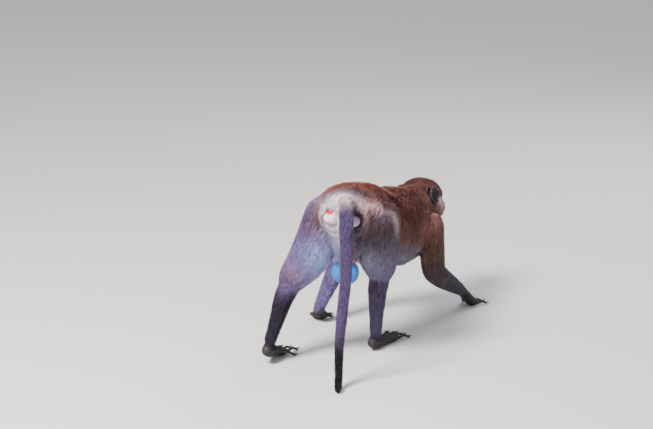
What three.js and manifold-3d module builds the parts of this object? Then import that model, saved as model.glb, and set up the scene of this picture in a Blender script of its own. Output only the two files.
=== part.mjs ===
// A life-size adult male vervet monkey, standing on four legs with its front lowered and its
// right hand reaching ahead, as a still museum model. The surface is the outline of its coat.
// Millimetres, +Z up. The monkey faces -Y, and its left side is towards +X.
import * as THREE from "three";
import { mergeVertices } from "three/addons/utils/BufferGeometryUtils.js";
import Module from "manifold-3d";

const wasm = await Module();
wasm.setup();

// Driving dimensions
const hipHeight = 276; // hip joint above the floor
const hipSpread = 50; // middle of each thigh's top, out from the midline
const shoulderAhead = 280; // shoulder joint, forward of the hip joint
const shoulderHeight = 200;
const shoulderSpread = 52;
const headTurn = -22; // degrees, towards the monkey's right
const headNod = 6; // degrees, nose down
const eyeRadius = 8.8;
const eyeSpread = 14.4; // middle of each eye, out from the nose
const earHeight = 34;
const earWidth = 27;
const cutWidth = 0.4; // gap between neighbouring sub-parts
const rootMargin = 5; // flesh that a limb's root takes with it out of the trunk
const tailMargin = 3; // and the tail's root

// Colours of the coat and the bare skin
const finish = (color, roughness) => new THREE.MeshStandardMaterial({ color, roughness });
const coats = {
  russetBack: finish("#7a5138", 0.95),
  greyLimb: finish("#8c84a0", 0.95),
  paleRump: finish("#d9c9d2", 0.95),
  bluishBelly: finish("#a9b2c6", 0.95),
  darkSkin: finish("#3a3138", 0.7),
  blueSkin: finish("#3f95c8", 0.55),
  pinkPad: finish("#dcc2d2", 0.6),
  wetEye: finish("#3b2415", 0.1),
};

// A place on the monkey, measured from the floor under its hips
const at = (forward, left, up) => new THREE.Vector3(left, -forward, up);
const leftward = at(0, 1, 0);
const upward = at(0, 0, 1);
const between = (a, b, share) => a.clone().lerp(b, share);
const direction = (a, b) => b.clone().sub(a).normalize();

// --- Solids from three.js shapes ---

function solidOf(geometry) {
  const bare = geometry.clone();
  bare.deleteAttribute("normal");
  bare.deleteAttribute("uv");
  const merged = mergeVertices(bare, 1e-4);
  return new wasm.Manifold(
    new wasm.Mesh({
      numProp: 3,
      vertProperties: new Float32Array(merged.attributes.position.array),
      triVerts: new Uint32Array(merged.index.array),
    }),
  );
}

const roundEnd = [64, 34];
const union = (solids) => solids.reduce((all, solid) => all.add(solid));

// A closed body along a smooth line of stations [middle, half width, half depth], with domed
// ends. Its width lies along across, and its depth square to that and to the line. A dome
// stands out from its end station by that share of the station's smaller half size.
function loft(stations, options = {}) {
  const { across = leftward, sides = 8, steps = 2, grow = 0 } = options;
  const { dome = 0.8, domeAngles = [45] } = options;
  const line = new THREE.CatmullRomCurve3(stations.map(([middle]) => middle));
  const sizes = new THREE.CatmullRomCurve3(
    stations.map(([, wide, deep]) => new THREE.Vector3(wide + grow, deep + grow, 0)),
  );
  const places = [];
  const ring = (middle, ahead, size, scale = 1) => {
    const side = across.clone().addScaledVector(ahead, -across.dot(ahead)).normalize();
    const top = new THREE.Vector3().crossVectors(ahead, side);
    for (let k = 0; k < sides; k += 1) {
      const turn = (2 * Math.PI * k) / sides;
      places.push(
        middle
          .clone()
          .addScaledVector(side, Math.cos(turn) * size.x * scale)
          .addScaledVector(top, Math.sin(turn) * size.y * scale),
      );
    }
  };
  const endOf = (t, way) => {
    const size = sizes.getPoint(t);
    const reach = way * dome * Math.min(size.x, size.y);
    return { middle: line.getPoint(t), ahead: line.getTangent(t), size, reach };
  };
  const domeRing = ({ middle, ahead, size, reach }, degrees) => {
    const angle = THREE.MathUtils.degToRad(degrees);
    const place = middle.clone().addScaledVector(ahead, reach * Math.sin(angle));
    ring(place, ahead, size, Math.cos(angle));
  };
  const start = endOf(0, -1);
  const end = endOf(1, 1);
  const count = steps * (stations.length - 1);
  domeAngles.forEach((degrees) => domeRing(start, degrees));
  for (let i = 0; i <= count; i += 1) {
    const t = i / count;
    ring(line.getPoint(t), line.getTangent(t), sizes.getPoint(t));
  }
  domeAngles.toReversed().forEach((degrees) => domeRing(end, degrees));
  const rings = places.length / sides;
  const tips = [start, end].map(({ middle, ahead, reach }) =>
    middle.clone().addScaledVector(ahead, reach),
  );
  places.push(...tips);
  const faces = [];
  for (let k = 0; k < sides; k += 1) {
    const next = (k + 1) % sides;
    faces.push(rings * sides, next, k);
    for (let i = 0; i < rings - 1; i += 1) {
      const here = i * sides;
      const there = here + sides;
      faces.push(here + k, here + next, there + next, here + k, there + next, there + k);
    }
    const last = (rings - 1) * sides;
    faces.push(rings * sides + 1, last + k, last + next);
  }
  return solidOf(new THREE.BufferGeometry().setFromPoints(places).setIndex(faces));
}

function ellipsoid(middle, radii, turn = new THREE.Matrix4(), facets = 10) {
  const geometry = new THREE.SphereGeometry(1, facets, Math.round(facets * 0.6))
    .applyMatrix4(new THREE.Matrix4().makeScale(radii.x, radii.y, radii.z))
    .applyMatrix4(turn)
    .translate(middle.x, middle.y, middle.z);
  return solidOf(geometry);
}

const ball = (middle, radius, facets) =>
  ellipsoid(middle, new THREE.Vector3(radius, radius, radius), undefined, facets);

// --- Trunk and neck ---

const trunk = loft(
  [
    [at(-48, 3, 293), 52, 46],
    [at(-18, 5, 291), 72, 59],
    [at(40, 0, 276), 66, 62],
    [at(110, 0, 241), 61, 68],
    [at(180, 0, 219), 62, 78],
    [at(245, 0, 199), 61, 80],
    [at(302, 0, 190), 53, 70],
  ],
  { sides: 14, steps: 1, dome: 0.6, domeAngles: roundEnd },
);

const headMiddle = at(374, -2, 226);
const neck = loft(
  [
    [at(252, 0, 220), 52, 56],
    [at(310, 0, 217), 48, 53],
    [at(352, -1, 222), 38, 41],
  ],
  { sides: 12, steps: 1 },
);

// The flesh between the legs, down to the scrotum
const groin = loft(
  [
    [at(-30, 2, 252), 40, 30],
    [at(-32, 3, 216), 27, 20],
    [at(-35, 4, 193), 18, 14],
  ],
  { sides: 10, steps: 1 },
);

// --- Head ---

const headFrame = new THREE.Matrix4()
  .makeRotationZ(THREE.MathUtils.degToRad(headTurn))
  .multiply(new THREE.Matrix4().makeRotationX(THREE.MathUtils.degToRad(headNod)))
  .setPosition(headMiddle);
const onHead = (forward, left, up) => at(forward, left, up).applyMatrix4(headFrame);
const headAcross = leftward.clone().transformDirection(headFrame);
const headRotation = new THREE.Matrix4().extractRotation(headFrame);

function skull() {
  const stations = [
    [onHead(-38, 0, 2), 32, 32],
    [onHead(-18, 0, 3), 42, 41],
    [onHead(3, 0, 2), 44, 42],
    [onHead(17, 0, 0), 40, 39],
    [onHead(27, 0, -3), 33, 32],
  ];
  return loft(stations, { across: headAcross, sides: 14, dome: 0.42, domeAngles: roundEnd });
}

function muzzle() {
  const stations = [
    [onHead(18, 0, -13), 22, 21],
    [onHead(37, 0, -15), 18, 20],
    [onHead(50, 0, -18), 17, 17],
    [onHead(60, 0, -20), 14.5, 13.5],
  ];
  return loft(stations, { across: headAcross, sides: 10, steps: 1, dome: 0.6 });
}

function chin() {
  const stations = [
    [onHead(12, 0, -32), 12, 9],
    [onHead(32, 0, -30), 10, 7],
    [onHead(48, 0, -28), 9, 6],
  ];
  return loft(stations, { across: headAcross, sides: 8, steps: 1 });
}

// The white whiskers that flare back over each cheek, way being 1 on the left and -1 on the right
function cheek(way) {
  const stations = [
    [onHead(25, way * 27, -16), 9, 13],
    [onHead(10, way * 40, -14), 14, 22],
    [onHead(-8, way * 40, -13), 11, 21],
  ];
  return loft(stations, { across: headAcross, steps: 1 });
}

function brow() {
  const stations = [
    [onHead(19, 35, 13), 6, 5],
    [onHead(32, 18, 19), 7, 6],
    [onHead(34, 0, 18), 7, 6],
    [onHead(32, -18, 19), 7, 6],
    [onHead(19, -35, 13), 6, 5],
  ];
  return loft(stations, { across: upward, sides: 5, steps: 1 });
}

const eyeMiddle = (way) => onHead(27.5, way * eyeSpread, 4);
const orbit = (way) =>
  ellipsoid(onHead(40.5, way * 15.5, 3.5), new THREE.Vector3(11.5, 10, 8.5), headRotation);

// A shallow oval cup that stands out of the fur, its mouth facing out and a little back. With
// room it's the pocket that holds the ear: its outline grown by that, and open ahead of its mouth.
function ear(way, room = 0) {
  const cup = [
    [0, -5],
    [9, -4.6],
    [14.6, -2.2],
    [17, 2],
    [16, 3.8],
    [13.6, 3],
    [10.6, 0],
    [6, -2],
    [0, -2.4],
  ];
  const pocket = [
    [0, -5 - room],
    [9.3, -4.6 - room],
    [15 + room, -2.4 - room],
    [17 + 1.5 * room, 1.8],
    [17 + 1.5 * room, 14],
    [0, 14],
  ];
  const outline = (room > 0 ? pocket : cup).map(([radius, height]) => {
    return new THREE.Vector2(radius, height);
  });
  const nominal = 34; // the outline's own diameter
  const middle = onHead(-12, way * 43, 8);
  const mouth = direction(middle, onHead(-12.5, way * 52, 9.5));
  const axis = new THREE.Vector3(0, 1, 0);
  const geometry = new THREE.LatheGeometry(outline, 12)
    .scale(earWidth / nominal, 1, earHeight / nominal)
    .applyQuaternion(new THREE.Quaternion().setFromUnitVectors(axis, leftward))
    .applyQuaternion(new THREE.Quaternion().setFromUnitVectors(leftward, mouth))
    .translate(middle.x, middle.y, middle.z);
  return solidOf(geometry);
}

// --- Limbs ---

const joints = {
  left: {
    hip: at(-4, hipSpread + 5, hipHeight + 8),
    knee: at(-46, 109, 158),
    ankle: at(-92, 136, 43),
    heel: at(-108, 136, 30),
    toes: at(-38, 140, 7.4),
    shoulder: at(shoulderAhead, shoulderSpread, shoulderHeight),
    elbow: at(224, 112, 134),
    wrist: at(170, 142, 34),
    fingers: at(200, 152, 6.8),
  },
  right: {
    hip: at(4, -hipSpread, hipHeight),
    knee: at(72, -27, 160),
    ankle: at(63, -21, 33),
    heel: at(48, -20, 17),
    toes: at(125, -30, 7.2),
    shoulder: at(shoulderAhead, -shoulderSpread, shoulderHeight),
    elbow: at(266, -68, 104),
    wrist: at(368, -92, 42),
    fingers: at(406, -102, 7),
  },
};
const bulges = {
  left: { thigh: at(-6, -13, -3), calf: at(-5, 2, 0) },
  right: { thigh: at(-12, 0, 0), calf: at(-8, 0, 0) },
};
const inwards = { left: -1, right: 1 };

const thighStations = ({ hip, knee }, bulge) => [
  [hip, 38, 55],
  [between(hip, knee, 0.55).add(bulge), 42, 46],
  [knee, 29, 30],
];

const shankStations = ({ knee, ankle }, calf) => [
  [knee, 21, 25],
  [between(knee, ankle, 0.35).add(calf), 19, 23],
  [between(knee, ankle, 0.75).addScaledVector(calf, 0.4), 14.5, 16.5],
  [ankle, 12.5, 14],
];

const upperArmStations = ({ shoulder, elbow }) => [
  [shoulder, 26, 42],
  [between(shoulder, elbow, 0.5), 25, 38],
  [elbow, 22, 30],
];

const forearmStations = ({ elbow, wrist }) => [
  [elbow, 21, 23],
  [between(elbow, wrist, 0.35), 20, 22],
  [between(elbow, wrist, 0.75), 15.5, 16.5],
  [wrist, 12.5, 12],
];

// A finger or toe that arches between its knuckle and its tip, which presses on the floor
function digit(root, tip, rise, thick) {
  const stations = [
    [root, thick, thick],
    [between(root, tip, 0.5).addScaledVector(upward, rise), thick * 0.92, thick * 0.92],
    [tip, thick * 0.8, thick * 0.8],
  ];
  const across = new THREE.Vector3().crossVectors(upward, direction(root, tip));
  return loft(stations, { across, sides: 5, steps: 1, domeAngles: [] });
}

// A hand or foot: a broad sole with four digits fanned from its knuckles, and a thumb or great
// toe that stands out on its inner side
function paw(heel, knuckles, inner, { soles, lengths, thick, spread, thumb }) {
  const ahead = knuckles.clone().sub(heel).setZ(0).normalize();
  const inward = new THREE.Vector3().crossVectors(upward, ahead).multiplyScalar(inner);
  const sole = loft(
    soles.map(([share, wide, deep]) => [between(heel, knuckles, share), wide, deep]),
    { across: inward, steps: 1 },
  );
  const pressed = thick * 0.8 - 1.5;
  const digits = lengths.map((length, i) => {
    const place = i - (lengths.length - 1) / 2;
    const root = knuckles.clone().addScaledVector(inward, -place * spread);
    const fan = ahead.clone().applyAxisAngle(upward, inner * place * -0.18);
    const tip = root.clone().addScaledVector(fan, length).setZ(pressed);
    root.z = Math.max(root.z, thick);
    return digit(root, tip, 5, thick);
  });
  const thumbRoot = between(heel, knuckles, thumb.from).addScaledVector(inward, thumb.out);
  const thumbWay = ahead.clone().applyAxisAngle(upward, inner * thumb.angle);
  const thumbTip = thumbRoot.clone().addScaledVector(thumbWay, thumb.length).setZ(pressed);
  return union([sole, ...digits, digit(thumbRoot, thumbTip, 3, thick)]);
}

const footShape = {
  soles: [
    [0, 12, 13],
    [0.22, 13.5, 15],
    [0.6, 15.5, 11],
    [1, 18, 9.5],
  ],
  lengths: [36, 41, 39, 33],
  thick: 4.3,
  spread: 10.4,
  thumb: { from: 0.55, out: 12, angle: 0.62, length: 38 },
};
const handShape = {
  soles: [
    [-0.15, 11, 10],
    [0.5, 15, 10],
    [1, 17, 8.5],
  ],
  lengths: [31, 36, 34, 27],
  thick: 4,
  spread: 9.4,
  thumb: { from: 0.6, out: 11, angle: 0.6, length: 24 },
};

const thighForm = { sides: 12, domeAngles: roundEnd };
const upperArmForm = { sides: 10 };

function limbsOf(side) {
  const places = joints[side];
  const { thigh, calf } = bulges[side];
  return union([
    loft(thighStations(places, thigh), thighForm),
    loft(shankStations(places, calf), { steps: 1 }),
    loft(upperArmStations(places), upperArmForm),
    loft(forearmStations(places), { steps: 1 }),
    paw(places.heel, places.toes, inwards[side], footShape),
    paw(places.wrist, places.fingers, inwards[side], handShape),
  ]);
}

// --- Tail and rump ---

const tailStations = [
  [at(-40, 2, 318), 18, 18],
  [at(-80, -13, 329), 17.5, 17],
  [at(-112, -28, 321), 16.5, 16],
  [at(-135, -37, 296), 14.5, 14.5],
  [at(-148, -43, 250), 12.5, 12.5],
  [at(-156, -44, 196), 11.4, 11.4],
  [at(-163, -40, 140), 11.4, 11.4],
  [at(-168, -37, 86), 9.8, 9.8],
  [at(-174, -38, 44), 9, 9],
  [at(-186, -42, 14), 8.4, 8.4],
  [at(-208, -50, 6.5), 7.4, 7.4],
];
const tailForm = { sides: 8, steps: 1, dome: 1.2, domeAngles: roundEnd };

const scrotumMiddle = at(-36, 4, 181);
const scrotum = union(
  [9.5, -9.5].map((aside) => {
    return ellipsoid(scrotumMiddle.clone().add(at(0, aside, 0)), new THREE.Vector3(19, 17, 24));
  }),
);

// A sitting pad, or with room the pocket that holds it
const callosity = (middle, room = 0) =>
  ellipsoid(middle, new THREE.Vector3(16 + room, 10 + room, 12 + room));
const padMiddles = { left: at(-73, 20, 294), right: at(-71, -25, 291) };

// --- The whole body ---

const floor = solidOf(new THREE.BoxGeometry(1600, 1600, 100).translate(0, 0, -50));
const body = union([
  trunk,
  neck,
  groin,
  skull(),
  muzzle(),
  chin(),
  cheek(1),
  cheek(-1),
  brow(),
  scrotum,
  loft(tailStations, tailForm),
  limbsOf("left"),
  limbsOf("right"),
]).subtract(floor);

// --- Its parting into named nodes ---

const root = new THREE.Group();

function addNode(name, solid, coat) {
  const { vertProperties, triVerts, numProp } = solid.getMesh();
  const geometry = new THREE.BufferGeometry();
  geometry.setAttribute("position", new THREE.Float32BufferAttribute(vertProperties, numProp));
  geometry.setIndex(new THREE.BufferAttribute(triVerts, 1));
  const mesh = new THREE.Mesh(geometry, coat);
  mesh.name = name;
  root.add(mesh);
}

// Parts a solid with a thin disc across way, and gives back what stays and what lies beyond it
function sever(solid, place, way, radius) {
  const turn = new THREE.Quaternion().setFromUnitVectors(new THREE.Vector3(0, 1, 0), way);
  const disc = new THREE.CylinderGeometry(radius, radius, cutWidth, 12)
    .applyQuaternion(turn)
    .translate(place.x, place.y, place.z);
  const pieces = solid.subtract(solidOf(disc)).decompose();
  const beyond = ball(place.clone().addScaledVector(way, 3), 1, 6);
  const end = pieces.find((piece) => !piece.intersect(beyond).isEmpty());
  return [union(pieces.filter((piece) => piece !== end)), end];
}

const largest = (solid) => solid.decompose().toSorted((a, b) => b.volume() - a.volume())[0];

// Lifts a limb out of a solid by its own loft, grown by margin so that it takes all its flesh
function lift(solid, stations, form, margin) {
  const limb = solid.intersect(loft(stations, { ...form, grow: margin }));
  const rest = solid.subtract(loft(stations, { ...form, grow: margin + cutWidth }));
  return [rest, largest(limb)];
}

let rest = body;
const partAt = (name, coat, place, way, radius) => {
  let end;
  [rest, end] = sever(rest, place, way, radius);
  addNode(name, end, coat);
};
const liftOut = (name, coat, stations, form, margin) => {
  let limb;
  [rest, limb] = lift(rest, stations, form, margin);
  addNode(name, limb, coat);
};

for (const side of ["left", "right"]) {
  const { hip, knee, ankle, shoulder, elbow, wrist } = joints[side];
  const thigh = thighStations(joints[side], bulges[side].thigh);
  const upperArm = upperArmStations(joints[side]);
  const shankWay = direction(knee, ankle);
  const forearmWay = direction(elbow, wrist);
  const kneeWay = direction(hip, knee).add(shankWay).normalize();
  const elbowWay = direction(shoulder, elbow).add(forearmWay).normalize();
  partAt(`foot_${side}`, coats.darkSkin, between(knee, ankle, 0.95), shankWay, 24);
  partAt(`shank_${side}`, coats.greyLimb, knee, kneeWay, 42);
  partAt(`hand_${side}`, coats.darkSkin, between(elbow, wrist, 0.94), forearmWay, 26);
  partAt(`forearm_${side}`, coats.greyLimb, elbow, elbowWay, 46);
  liftOut(`thigh_${side}`, coats.greyLimb, thigh, thighForm, rootMargin);
  liftOut(`upper_arm_${side}`, coats.russetBack, upperArm, upperArmForm, rootMargin);
}

const tailCut = (index) => {
  const [above] = tailStations[index - 1];
  const [place] = tailStations[index];
  const [below] = tailStations[index + 1];
  return [place, direction(above, below), 20];
};
partAt("tail_tip", coats.darkSkin, ...tailCut(7));
partAt("tail_middle", coats.greyLimb, ...tailCut(4));
liftOut("tail_root", coats.greyLimb, tailStations.slice(1), tailForm, tailMargin);
partAt("scrotum", coats.blueSkin, at(-35, 4, 205), at(0, 0, -1), 30);

const neckWay = at(0.9, 0, 0.43).normalize();
let head;
[rest, head] = sever(rest, at(331, 0, 221), neckWay, 74);
partAt("neck", coats.russetBack, at(303, 0, 218), neckWay, 76);
partAt("chest", coats.russetBack, at(196, 0, 214), at(1, 0, -0.3).normalize(), 110);
const [rump, belly] = sever(rest, at(84, 0, 256), at(1, 0, -0.4).normalize(), 110);
addNode("belly", belly, coats.bluishBelly);

const ways = { left: 1, right: -1 };
const pocketsIn = (solid, pockets) => pockets.reduce((left, pocket) => left.subtract(pocket), solid);
const facePockets = Object.values(ways).flatMap((way) => [
  orbit(way),
  ball(eyeMiddle(way), eyeRadius + cutWidth, 12),
  ear(way, cutWidth),
]);
addNode("head", pocketsIn(head, facePockets), coats.russetBack);
const padPockets = Object.values(padMiddles).map((middle) => callosity(middle, cutWidth));
addNode("rump", pocketsIn(rump, padPockets), coats.paleRump);
for (const [side, way] of Object.entries(ways)) {
  addNode(`eye_${side}`, ball(eyeMiddle(way), eyeRadius, 12), coats.wetEye);
  addNode(`ear_${side}`, ear(way), coats.darkSkin);
  addNode(`callosity_${side}`, callosity(padMiddles[side]), coats.pinkPad);
}

// The origin is on the floor, under the middle of the whole monkey
const middle = new THREE.Box3().setFromObject(root).getCenter(new THREE.Vector3());
root.position.set(-middle.x, -middle.y, 0);

export default root;
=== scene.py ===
import math

import bmesh
import bpy
import numpy as np
from mathutils import Matrix, Vector
from mathutils.kdtree import KDTree


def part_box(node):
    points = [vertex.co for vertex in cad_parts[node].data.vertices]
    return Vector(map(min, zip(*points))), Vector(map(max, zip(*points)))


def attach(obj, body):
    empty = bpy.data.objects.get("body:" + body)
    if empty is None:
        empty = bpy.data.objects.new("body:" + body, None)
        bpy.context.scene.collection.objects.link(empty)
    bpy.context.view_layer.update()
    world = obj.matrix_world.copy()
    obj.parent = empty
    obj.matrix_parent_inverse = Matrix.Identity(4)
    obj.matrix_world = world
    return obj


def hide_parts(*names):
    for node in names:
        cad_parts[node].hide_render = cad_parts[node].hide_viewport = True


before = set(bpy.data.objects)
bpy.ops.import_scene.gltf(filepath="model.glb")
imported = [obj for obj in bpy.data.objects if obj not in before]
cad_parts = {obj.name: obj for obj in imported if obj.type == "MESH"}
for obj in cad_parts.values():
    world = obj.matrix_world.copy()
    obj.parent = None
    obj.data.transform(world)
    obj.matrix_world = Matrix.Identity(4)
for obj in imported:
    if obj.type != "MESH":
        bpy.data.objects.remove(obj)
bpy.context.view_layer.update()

random = np.random.default_rng(11)
mm = 0.001


def toLinear(hexCode):
    code = hexCode.lstrip("#")
    srgb = [int(code[i : i + 2], 16) / 255 for i in (0, 2, 4)]
    return np.array([v / 12.92 if v <= 0.04045 else ((v + 0.055) / 1.055) ** 2.4 for v in srgb])


def linearTones(codes):
    return {name: toLinear(code) for name, code in codes.items()}


def ramp(low, high, value):
    # 0 at low and 1 at high, eased at both ends
    t = np.clip((value - low) / (high - low), 0, 1)
    return t * t * (3 - 2 * t)


def hump(*gaps):
    # 1 where every gap is 0, falling away smoothly round it
    return np.exp(-sum(gap**2 for gap in gaps))


def unit(vectors):
    return vectors / np.maximum(np.linalg.norm(vectors, axis=-1, keepdims=True), 1e-12)


def ripple(points, size, seed):
    # smooth noise from -1 to 1 whose swells are about size mm across
    waves = np.random.default_rng(seed)
    ways = unit(waves.normal(size=(7, 3))) * waves.uniform(0.7, 1.5, (7, 1))
    ways = ways * 2 * math.pi / (size * mm)
    return np.sin(points @ ways.T + waves.uniform(0, 2 * math.pi, 7)).sum(1) / 3.2


# Places on the monkey, in mm: forward of the hips, to its left, and up

pose = {
    "head": (374, -2, 226), "turn": -22, "nod": 6, "roll": 6,
    "eyes": (27.5, 14.4, 4), "eyeRadius": 8.8, "ears": (-12, 43.5, 9.5),
    "scrotum": (-36, 4, 181), "pads": {"left": (-73, 20, 294), "right": (-71, -25, 291)},
    "tail": [
        (-34, 2, 309), (-80, -13, 329), (-112, -28, 321), (-135, -37, 296), (-148, -43, 250),
        (-156, -44, 196), (-163, -40, 140), (-168, -37, 86), (-174, -38, 44), (-186, -42, 14),
        (-216, -52, 6.5),
    ],
    "trunk": [
        (302, 0, 190), (245, 0, 199), (180, 0, 219), (110, 0, 241), (40, 0, 276), (-48, 3, 293),
    ],
    "left": {
        "hip": (-4, 55, 284), "knee": (-46, 109, 158), "ankle": (-92, 136, 43),
        "heel": (-108, 136, 30), "toes": (-38, 140, 7.4),
        "shoulder": (280, 52, 200), "elbow": (224, 112, 134),
        "wrist": (170, 142, 34), "fingers": (200, 152, 6.8),
    },
    "right": {
        "hip": (4, -50, 276), "knee": (72, -27, 160), "ankle": (63, -21, 33),
        "heel": (48, -20, 17), "toes": (125, -30, 7.2),
        "shoulder": (280, -52, 200), "elbow": (266, -68, 104),
        "wrist": (368, -92, 42), "fingers": (406, -102, 7),
    },
}
sides = {"left": 1, "right": -1}


def axes(forward, left, up):
    return np.array([left, -forward, up], float)


headTurn = np.array(
    Matrix.Rotation(math.radians(pose["turn"]), 3, "Z")
    @ Matrix.Rotation(math.radians(pose["nod"]), 3, "X")
    @ Matrix.Rotation(math.radians(pose["roll"]), 3, "Y")
)
eyeMiddles = {side: np.array(sum(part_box("eye_" + side), Vector())) / 2 for side in sides}
betweenEyes = (eyeMiddles["left"] + eyeMiddles["right"]) / 2 / mm
headCentre = betweenEyes - headTurn @ axes(pose["eyes"][0], 0, pose["eyes"][2])
hipsOnFloor = headCentre - axes(*pose["head"])


def place(forward, left, up):
    return (axes(forward, left, up) + hipsOnFloor) * mm


def onHead(forward, left, up):
    return (headTurn @ axes(forward, left, up) + headCentre) * mm


def bodyPlaces(points):
    p = points / mm - hipsOnFloor
    return -p[:, 1], p[:, 0], p[:, 2]


def headPlaces(points):
    p = (points / mm - headCentre) @ headTurn
    return -p[:, 1], p[:, 0], p[:, 2]


def apart(places, middle, radii):
    # how far places lie from middle, counted in radii and squared
    return sum(((p - m) / r) ** 2 for p, m, r in zip(places, middle, radii))


def nearness(points, middle, radii):
    # 1 at middle, fading to about 0 by 1.6 times the radii, all in mm
    return np.exp(-1.2 * apart(bodyPlaces(points), middle, radii))


def trail(points, stations, reach):
    # follows a line through stations of forward, left, up and strength
    places = np.stack(bodyPlaces(points), 1)
    best = np.zeros(len(points))
    for start, end in zip(np.array(stations), np.array(stations[1:])):
        step = (end - start)[:3]
        part = np.clip((places - start[:3]) @ step / (step @ step), 0, 1)
        gaps = np.linalg.norm(places - start[:3] - part[:, None] * step, axis=1) / reach
        best = np.maximum(best, (start[3] + part * (end[3] - start[3])) * np.exp(-1.2 * gaps**2))
    return best


def within(places, middle, radii, soft=0.15):
    # 1 inside an ellipsoid and 0 outside it
    return 1 - ramp(1 - soft, 1 + soft, np.sqrt(apart(places, middle, radii)))


# Hands and feet

# Digits run across from the inner side, and a thumb has its place along the palm and beside it,
# its angle and its length
pawForm = {
    "foot": {
        "stops": ("heel", "toes"), "lengths": (36, 41, 39, 33), "thick": 4.3, "spread": 10.4,
        "thumb": (0.55, 12, 0.62, 38),
    },
    "hand": {
        "stops": ("wrist", "fingers"), "lengths": (31, 36, 34, 27), "thick": 4, "spread": 9.4,
        "thumb": (0.6, 11, 0.6, 24),
    },
}


def turned(vector, angle):
    c, s = math.cos(angle), math.sin(angle)
    return np.array([c * vector[0] - s * vector[1], s * vector[0] + c * vector[1], vector[2]])


def digits(side, kind):
    # root, tip and the way that it points, for the four digits and the thumb or great toe
    form = pawForm[kind]
    inner = -sides[side]
    heel, knuckles = (place(*pose[side][stop]) for stop in form["stops"])
    ahead = unit((knuckles - heel) * [1, 1, 0])
    inward = np.cross([0, 0, 1], ahead) * inner
    low = (form["thick"] * 0.8 - 1.5) * mm  # the height of each tip
    found = []

    def add(root, way, length):
        tip = root + way * length * mm
        found.append((root, np.array([tip[0], tip[1], low]), way))

    for i, length in enumerate(form["lengths"]):
        spot = i - 1.5
        root = knuckles - inward * spot * form["spread"] * mm
        add(root, turned(ahead, inner * spot * -0.18), length)
    share, out, angle, length = form["thumb"]
    root = heel + (knuckles - heel) * share + inward * out * mm
    add(root, turned(ahead, inner * angle), length)
    return found


# Chains of bones, which give the lie of the coat, its depth and its colour

bones = []  # part, start, end, radius and coat depth in mm, the lie running from start to end


def addBones(part, stops, radius, depth):
    for start, end in zip(stops[:-1], stops[1:]):
        bones.append((part, start, end, radius, depth))


addBones("trunk", [place(*p) for p in pose["trunk"]], 68, 10)
addBones("neck", [place(352, -1, 222), place(302, 0, 200)], 50, 10)
addBones("head", [onHead(20, 0, -4), onHead(-22, 0, 3)], 42, 5.5)
addBones("muzzle", [onHead(62, 0, -20), onHead(24, 0, -13)], 20, 1)
addBones("tail", [place(*p) for p in pose["tail"]], 14, 4.5)
limbForm = {  # the ends of each part, its radius and its coat's depth
    "thigh": ("hip", "knee", 44, 8), "shank": ("knee", "ankle", 21, 2.8),
    "foot": ("heel", "toes", 13, 0.9), "upperArm": ("shoulder", "elbow", 28, 7.5),
    "forearm": ("elbow", "wrist", 19, 3.8), "hand": ("wrist", "fingers", 11, 0.8),
}
for side in sides:
    for part, (start, end, radius, depth) in limbForm.items():
        addBones(part + side, [place(*pose[side][stop]) for stop in (start, end)], radius, depth)
    for kind in pawForm:
        for root, tip, _ in digits(side, kind):
            addBones(kind + side, [root, tip], 5, 0.5)
partNames = list(dict.fromkeys(bone[0] for bone in bones))


def readBones(points):
    # how much each part has to do with each point, the lie there, and how far down its bone it is
    shares = np.zeros((len(points), len(partNames)))
    lie = np.zeros((len(points), 3))
    depth = np.zeros(len(points))
    along = np.zeros((len(points), len(partNames)))
    for part, start, end, radius, thick in bones:
        bone = end - start
        t = np.clip(((points - start) @ bone) / (bone @ bone), 0, 1)
        gap = np.linalg.norm(points - start - t[:, None] * bone, axis=1) / (radius * mm)
        share = 1 / (gap**6 + 0.02)
        index = partNames.index(part)
        shares[:, index] += share
        along[:, index] += share * t
        lie += share[:, None] * bone / np.linalg.norm(bone)
        depth += share * thick
    along /= np.maximum(shares, 1e-9)
    total = shares.sum(1)
    return shares / total[:, None], lie / total[:, None], depth / total, along


def partOf(shares, *starts):
    return sum(shares[:, i] for i, name in enumerate(partNames) if name.startswith(starts))


earForm = {
    "tall": 18, "deep": 15.5, "around": 80, "lean": -12,
    # how high each fold stands, then its place and width across the ear, and up it
    "folds": [
        (1.5, 0.12, 0.07, 0.42, 0.2), (2.8, -0.62, 0.15, -0.08, 0.2),
        (1.9, -0.22, 0.17, -0.6, 0.12),
    ],
    # out to the rim: its radius where it curls in and at the cheek, and the share of its height
    "rim": [
        (0.865, 0.87, 0.2), (0.85, 0.885, 0.5), (0.86, 0.91, 0.82), (0.895, 0.935, 1.0),
        (0.94, 0.96, 1.0), (0.98, 0.985, 0.75),
    ],
    # back from the rim: radius and height
    "back": [
        (1.0, -1.2), (0.985, -2.2), (0.93, -3.4), (0.85, -4.8), (0.75, -6.4), (0.66, -8.4),
        (0.58, -11),
    ],
}

# Markings

tones = linearTones({
    "russet": "#734941", "dark mottle and shade": "#392525", "sunlit back": "#894534", "sunlit rim": "#b5684f",
    "sunlit shoulder": "#b8827c", "belly": "#9897af", "flank": "#7d6158", "white rump": "#fdeef4",
    "pale fur and sunlight": "#f3ced2", "tail shadow": "#423a4c", "shaded thigh": "#48393d",
    "sunlit leg": "#876fa6", "grey leg": "#5f595f", "shaded leg": "#58496a",
    "pale inner leg": "#9aa9dd", "shadowed shank": "#2d2536", "shaded shank": "#504467",
    "arm": "#664e49", "sunlit forearm": "#8070a3", "shaded forearm": "#474050", "hand": "#2c262c",
    "tail": "#62527d", "tail tip": "#1a161a", "shaded crown": "#3d2829", "face": "#262023",
    "brow band": "#efe8e2", "temple": "#806b66", "cheek": "#e6dada", "rear cheek": "#98797c",
    "throat": "#ddd6d6", "ear": "#2b252d", "blue skin": "#1b70bd", "pink pad": "#f7d2e2",
    "shaded pad": "#6d5f7c", "red skin": "#c01f2b",
})
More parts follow.
